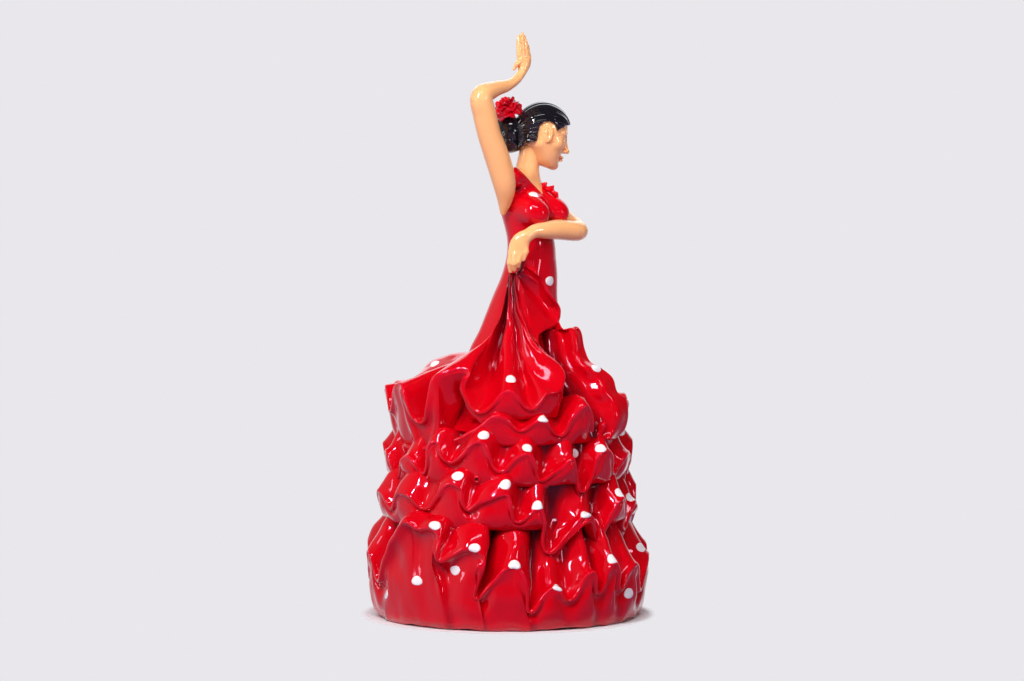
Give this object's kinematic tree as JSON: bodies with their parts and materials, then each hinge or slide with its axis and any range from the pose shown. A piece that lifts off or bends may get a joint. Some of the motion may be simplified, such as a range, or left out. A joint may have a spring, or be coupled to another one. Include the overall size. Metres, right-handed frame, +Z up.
{
  "type": "souvenir figurine",
  "caption": "Glossy painted resin figurine of a flamenco dancer in a flounced red dress with white dots, one arm raised and one hand gathering the skirt.",
  "frame": {"origin": "centre of the bottom of the bounding box, on the table", "axes": "+Z up, +X the way the dancer faces, -Y the side of her raised arm"},
  "size_m": [0.0992, 0.0992, 0.2],
  "materials": {
    "red_paint": "resin under glossy red paint and clear lacquer, with white painted dots",
    "skin_paint": "resin under warm peach paint with an airbrushed orange shade, satin to gloss",
    "black_paint": "resin under glossy black paint",
    "rose_paint": "resin under glossy red paint",
    "steel": "plain steel wire, hidden inside the joints",
    "felt": "dark self-adhesive felt"
  },
  "bodies": {
    "root": {"felt_pad": "felt", "skirt_core": "red_paint", "hem_flounce": "red_paint", "lower_flounce": "red_paint", "middle_flounce": "red_paint", "upper_flounce": "red_paint", "overskirt_flounce": "red_paint", "lifted_panel": "red_paint", "cascade_ruffle": "red_paint", "bodice": "red_paint", "neck_and_chest": "skin_paint", "head": "skin_paint", "hair_cap": "black_paint", "hair_bun": "black_paint", "hair_flower": "rose_paint", "raised_arm": "skin_paint", "folded_arm": "skin_paint", "waist_pin": "steel", "neck_pin": "steel", "raised_arm_pin": "steel", "folded_arm_pin": "steel"}
  },
  "joints": []
}
